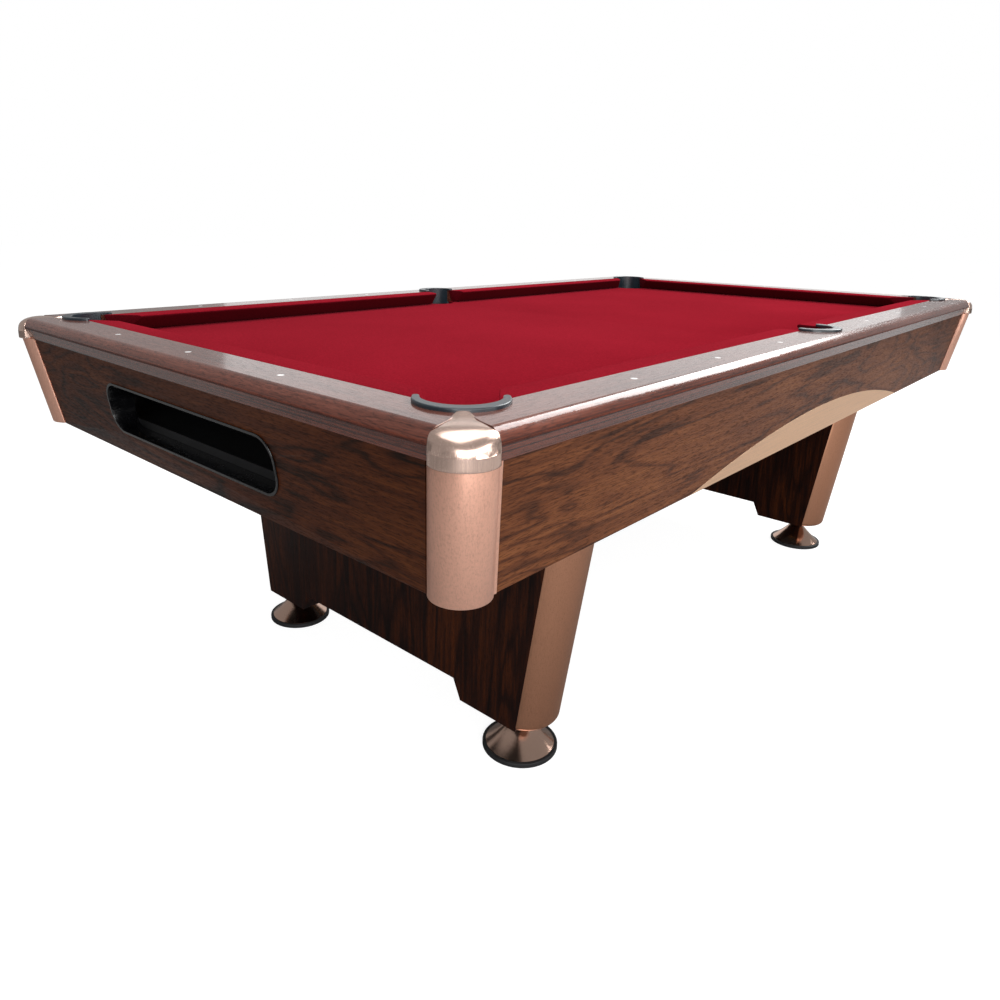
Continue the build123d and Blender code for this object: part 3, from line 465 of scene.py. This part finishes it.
def cushion_cover(name, place, lengths):
    """Cloth over one cushion, folded round both of its ends.

    place(along, out, height) gives the point; lengths(out) gives the two ends there.
    """
    section = [(d / 1000, z / 1000) for d, z in CUSHION_SECTION]
    middle = (0.030, 0.808)
    columns = len(section)
    ends = ((-0.0004, 0.0012), (0.0001, 0.0004), (0.0011, 0.0), (0.004, 0.0))
    steps = 26

    def ring(step):
        first = step < len(ends)
        last = step >= len(ends) + steps
        index = step if first else 2 * len(ends) + steps - 1 - step
        back, shrink = ends[index] if first or last else (0.004, 0.0)
        share = 0 if first else 1 if last else (step - len(ends) + 1) / (steps + 1)
        points = []
        for d, z in section:
            toward = Vector((middle[0] - d, middle[1] - z))
            reach = toward.length or 1.0
            near_d = d + toward.x / reach * shrink
            near_z = z + toward.y / reach * shrink
            low, high = lengths(near_d)
            start, stop = low + back, high - back
            if not (first or last):
                start, stop = low + 0.004, high - 0.004
            points.append(place(start + share * (stop - start), near_d, near_z))
        return points

    rows = 2 * len(ends) + steps
    points = [point for step in range(rows) for point in ring(step)]
    faces = grid_faces(rows, columns)
    faces.append(tuple(range(columns)))
    faces.append(tuple(reversed(range((rows - 1) * columns, rows * columns))))
    piece = new_piece(name, points, faces, "cloth")
    mesh = bmesh.new()
    mesh.from_mesh(piece.data)
    caps = [face for face in mesh.faces if len(face.verts) > 4]
    bmesh.ops.triangulate(mesh, faces=caps)
    bmesh.ops.recalc_face_normals(mesh, faces=mesh.faces[:])
    mesh.to_mesh(piece.data)
    mesh.free()
    piece.data.shade_smooth()
    settle(piece, "root", "red_cloth", "cushion_cloths")
    low, high = lengths(0.03)


def make_cushion_covers():
    for sy, hand in HANDS:
        for sx, place in ENDS:
            def side_place(along_x, out, height, sx=sx, sy=sy):
                return (sx * along_x, sy * (HALF_Y + out), height)

            def side_lengths(out):
                return (SIDE_END[0] - SIDE_END[1] * out, HALF_X - CORNER_END[0] + CORNER_END[1] * out)

            cushion_cover(f"cushion_cover_{place}_{hand}", side_place, side_lengths)
    for sx, place in ENDS:
        def end_place(along_y, out, height, sx=sx):
            return (sx * (HALF_X + out), along_y, height)

        def end_lengths(out):
            half = HALF_Y - CORNER_END[0] + CORNER_END[1] * out
            return (-half, half)

        cushion_cover(f"cushion_cover_{place}", end_place, end_lengths)


# ---- Corner caps ----------------------------------------------------------------
# Distances along the diagonal from the playfield corner, and across it, in millimetres.

CAP_SIDES = ((95.0, 7.2), (106.0, 12.0), (118.0, 17.6), (130.0, 23.4), (143.0, 29.4), (155.0, 36.0),
             (161.0, 39.8), (166.5, 43.0))
CAP_APEX = 197.0
CAP_BAND = 796.0
CAP_LEVEL = 1000 * RAIL_TOP + 0.8
CAP_LIP = 1000 * LIP_Z


def smooth_line(knots, value):
    """Smooth curve through (position, height) knots."""
    for k in range(len(knots) - 1):
        if value <= knots[k + 1][0] or k == len(knots) - 2:
            break
    before, after = knots[max(k - 1, 0)], knots[min(k + 2, len(knots) - 1)]
    (x0, y0), (x1, y1) = knots[k], knots[k + 1]
    share = (value - x0) / (x1 - x0)
    slope0 = (y1 - before[1]) / (x1 - before[0])
    slope1 = (after[1] - y0) / (after[0] - x0)
    wide = x1 - x0
    h = share
    return ((2 * h**3 - 3 * h**2 + 1) * y0 + (h**3 - 2 * h**2 + h) * wide * slope0
            + (-2 * h**3 + 3 * h**2) * y1 + (h**3 - h**2) * wide * slope1)


def cap_circle():
    """Centre and radius of the cap's round front."""
    s, half = CAP_SIDES[-1]
    centre = (CAP_APEX**2 - s**2 - half**2) / (2 * (CAP_APEX - s))
    return centre, CAP_APEX - centre


def cap_rim():
    """Plan points round the cap, from the tongue's one side over the front to the other."""
    centre, radius = cap_circle()
    s, half = CAP_SIDES[-1]
    turn = atan2(half, s - centre)
    side = []
    steps = 34
    for k in range(steps + 1):
        at = CAP_SIDES[0][0] + (s - CAP_SIDES[0][0]) * k / steps
        side.append((at, smooth_line(CAP_SIDES, at)))
    front = []
    steps = 56
    for k in range(1, steps):
        angle = turn - 2 * turn * k / steps
        front.append((centre + radius * cos(angle), radius * sin(angle)))
    return side + front + [(at, -across) for at, across in reversed(side)]


def soft_least(*values):
    """Smallest of some heights, with the creases between them rounded."""
    soft = 2.2
    least = min(values)
    return least - soft * log(sum(exp((least - value) / soft) for value in values))


def cap_height(s, a, share):
    """Height of the cap's surface; share is 0 on its spine and 1 on its edge."""
    lift = max(0.0, min(1.0, (126.0 - s) / 29.0))
    top = CAP_LEVEL + 4.0 * lift ** 1.3
    crown = max(0.0, min(1.0, (s - 112.0) / 30.0))
    top += (0.5 + 1.7 * crown) * (1 - share**2)

    def over_rail(out):
        beyond = max(0.0, min(1.0, (out - 129.0) / (151.5 - 129.0)))
        return 806.0 + (top - 806.0) * sqrt(max(0.0, 1 - beyond * beyond))

    heart = 130.0                              # the dome falls away in ovals round this place
    broad = (CAP_APEX - heart) ** 2 - (CAP_SIDES[-1][0] - heart) ** 2
    reach = sqrt(max(0.0, s - heart) ** 2 + a * a * broad / CAP_SIDES[-1][1] ** 2) / (CAP_APEX - heart)
    beyond = max(0.0, min(1.0, (reach - 0.34) / 0.66))
    power = 2 + min(1.0, (a / 34.0) ** 2)
    dome = CAP_BAND + (top - CAP_BAND) * (1 - beyond ** power) ** (1 / power)
    high = soft_least(top, over_rail((s + a) * sqrt(0.5)), over_rail((s - a) * sqrt(0.5)), dome)
    return max(CAP_BAND, high + 0.7)


def make_cap(name, sx, sy):
    """Spun and brushed metal cap with an upright band round its front."""
    rim = cap_rim()
    centre = cap_circle()[0]
    shares = (0.0, 0.14, 0.28, 0.42, 0.54, 0.65, 0.74, 0.81, 0.87, 0.92, 0.955, 0.98, 0.994, 1.0)
    rings = []
    for share in shares:
        ring = []
        for s, a in rim:
            spine = min(s, centre)
            at, across = spine + (s - spine) * share, a * share
            edge = min(1.0, max(0.0, share - 0.955) / 0.045)
            rounding = 0.9 * (1 - sqrt(1 - edge * edge))
            ring.append((at, across, cap_height(at, across, share) - rounding))
        rings.append(ring)

    def inset(amount, low):
        ring = []
        count = len(rim)
        for k, (s, a) in enumerate(rim):
            before, after = rim[max(k - 1, 0)], rim[min(k + 1, count - 1)]
            along_rim = Vector((after[0] - before[0], after[1] - before[1])).normalized()
            ring.append((s + along_rim.y * amount, a - along_rim.x * amount, low))
        return ring

    rings.append([(s, a, min(high - 0.3, CAP_BAND)) for (s, a, high) in rings[-1]])
    for amount, low in ((0.0, 790.0), (0.0, 783.0), (0.0, CAP_LIP + 1.0), (0.4, CAP_LIP + 0.2),
                        (1.0, CAP_LIP), (3.4, CAP_LIP), (4.0, CAP_LIP + 0.6), (4.0, CAP_LIP + 8)):
        rings.append(inset(amount, low))
    count = len(rim)
    points = []
    for ring in rings:
        for s, a, high in ring:
            x, y = (s - a) * sqrt(0.5) / 1000, (s + a) * sqrt(0.5) / 1000
            points.append((sx * (HALF_X + x), sy * (HALF_Y + y), high / 1000))
    faces = []
    for row in range(len(rings) - 1):
        for k in range(count):
            a, b = row * count + k, row * count + (k + 1) % count
            if row == 0 and k == count - 1:
                continue
            faces.append((a, b, b + count, a + count))
    faces.append(tuple(range((len(rings) - 1) * count, len(rings) * count)))
    piece = new_piece(name, points, faces, "champagne")
    mesh = bmesh.new()
    mesh.from_mesh(piece.data)
    bmesh.ops.remove_doubles(mesh, verts=mesh.verts[:], dist=1e-6)
    bmesh.ops.recalc_face_normals(mesh, faces=mesh.faces[:])
    mesh.to_mesh(piece.data)
    mesh.free()
    piece.data.shade_smooth()
    return piece


def make_caps():
    for sx, sy, tag in CORNERS:
        piece = make_cap(f"corner_cap_{tag}", sx, sy)
        settle(piece, "root", "champagne_metal", f"corner_casting_{tag}")


# ---- Worn edges -----------------------------------------------------------------

EASED = (("side_apron", 0.0006), ("end_apron", 0.0006), ("corner_pillar", 0.0006), ("arch_panel", 0.0004),
         ("leg_post", 0.0010), ("pedestal_panel", 0.0010), ("leg_cover", 0.0005),
         ("ball_window_frame", 0.0007), ("ball_tray", 0.0004))


def ease_edges(start, width):
    """Round the sharp edges of the frame nodes whose names start this way."""
    for name, piece in NODES.items():
        if not name.startswith(start):
            continue
        weld = piece.modifiers.new("weld", "WELD")
        weld.merge_threshold = 1e-5
        bevel = piece.modifiers.new("ease", "BEVEL")
        bevel.width = width
        bevel.segments = 2
        bevel.limit_method = "ANGLE"
        bevel.angle_limit = radians(38)
        bevel.use_clamp_overlap = True
        bevel.harden_normals = True


# ---- Camera, floor and light ----------------------------------------------------

def make_camera():
    yaw, pitch, roll = 0.743, -0.237, 0.018
    forward = Vector((cos(pitch) * cos(yaw), cos(pitch) * sin(yaw), sin(pitch)))
    level = Vector((sin(yaw), -cos(yaw), 0.0))
    upright = level.cross(forward)
    right = level * cos(roll) + upright * sin(roll)
    top = upright * cos(roll) - level * sin(roll)
    data = bpy.data.cameras.new("camera")
    data.lens = 27.82
    data.sensor_width = 36.0
    data.shift_x = 0.0268
    data.shift_y = -0.0903
    data.clip_start = 0.01
    camera = bpy.data.objects.new("camera", data)
    SCENE.collection.objects.link(camera)
    turned = Matrix((right, top, -forward)).transposed().to_4x4()
    turned.translation = (-1.8509, -1.2538, 1.0486)
    camera.matrix_world = turned
    SCENE.camera = camera


def make_floor():
    half = 30.0
    floor = new_piece("floor", [(-half, -half, 0), (half, -half, 0), (half, half, 0), (-half, half, 0)],
                      [(0, 1, 2, 3)], "floor")


def area_light(name, place, target, size, power, colour=(1, 1, 1)):
    data = bpy.data.lights.new(name, "AREA")
    data.shape = "RECTANGLE"
    data.size, data.size_y = size
    data.energy = power
    data.color = colour
    light = bpy.data.objects.new(name, data)
    SCENE.collection.objects.link(light)
    light.location = place
    aim = Vector(target) - Vector(place)
    light.rotation_euler = aim.to_track_quat("-Z", "Y").to_euler()


def make_lights():
    world = bpy.data.worlds.new("studio")
    world.use_nodes = True
    tree = world.node_tree
    seen = tree.nodes.new("ShaderNodeLightPath")
    strength = tree.nodes.new("ShaderNodeMapRange")
    strength.inputs["To Min"].default_value = 0.33
    strength.inputs["To Max"].default_value = 1.0
    tree.links.new(seen.outputs["Is Camera Ray"], strength.inputs["Value"])
    backdrop = tree.nodes["Background"]
    backdrop.inputs["Color"].default_value = (1.0, 1.0, 1.0, 1.0)
    tree.links.new(strength.outputs["Result"], backdrop.inputs["Strength"])
    SCENE.world = world
    SCENE.view_settings.view_transform = "Standard"
    area_light("top_softbox", (-0.4, 0.0, 3.6), (-0.4, 0, 0), (3.6, 2.4), 70.0)
    area_light("far_wall", (4.6, 3.6, 1.7), (0, 0, 0.8), (7.0, 3.2), 40.0)
    area_light("side_softbox", (-0.6, -4.6, 1.9), (-0.2, -0.6, 0.6), (5.0, 1.8), 108.0)
    area_light("near_softbox", (-3.7, -3.3, 1.7), (-0.9, -0.5, 0.6), (2.6, 2.2), 125.0)
    area_light("over_softbox", (3.9, -0.9, 3.9), (-0.4, -0.6, 0.8), (3.4, 3.4), 290.0)


def floor_look():
    """Near-white studio floor that reads as one with the backdrop."""
    look = Look("pale_floor", Specular_IOR_Level=0.1, Emission_Color=(1.0, 1.0, 1.0, 1.0))
    drift = look.noise((1.5, 1.5, 1.5), 2.0)
    look.colour(look.ramp(drift, (0.3, tone(146, 146, 146)), (0.7, tone(152, 152, 152))))
    look.roughness(look.span(drift, 0.3, 0.7, 0.7, 0.8))
    seen = look.node("LightPath")
    look.plug(look.shader.inputs["Emission Strength"],
              look.math("MULTIPLY", seen.outputs["Is Camera Ray"], 0.89))
    return look.material


MATERIALS["floor"] = floor_look()

paint_nodes()
make_bed_cloth()
make_cushion_covers()
make_caps()
for start, width in EASED:
    ease_edges(start, width)
make_camera()
make_floor()
make_lights()
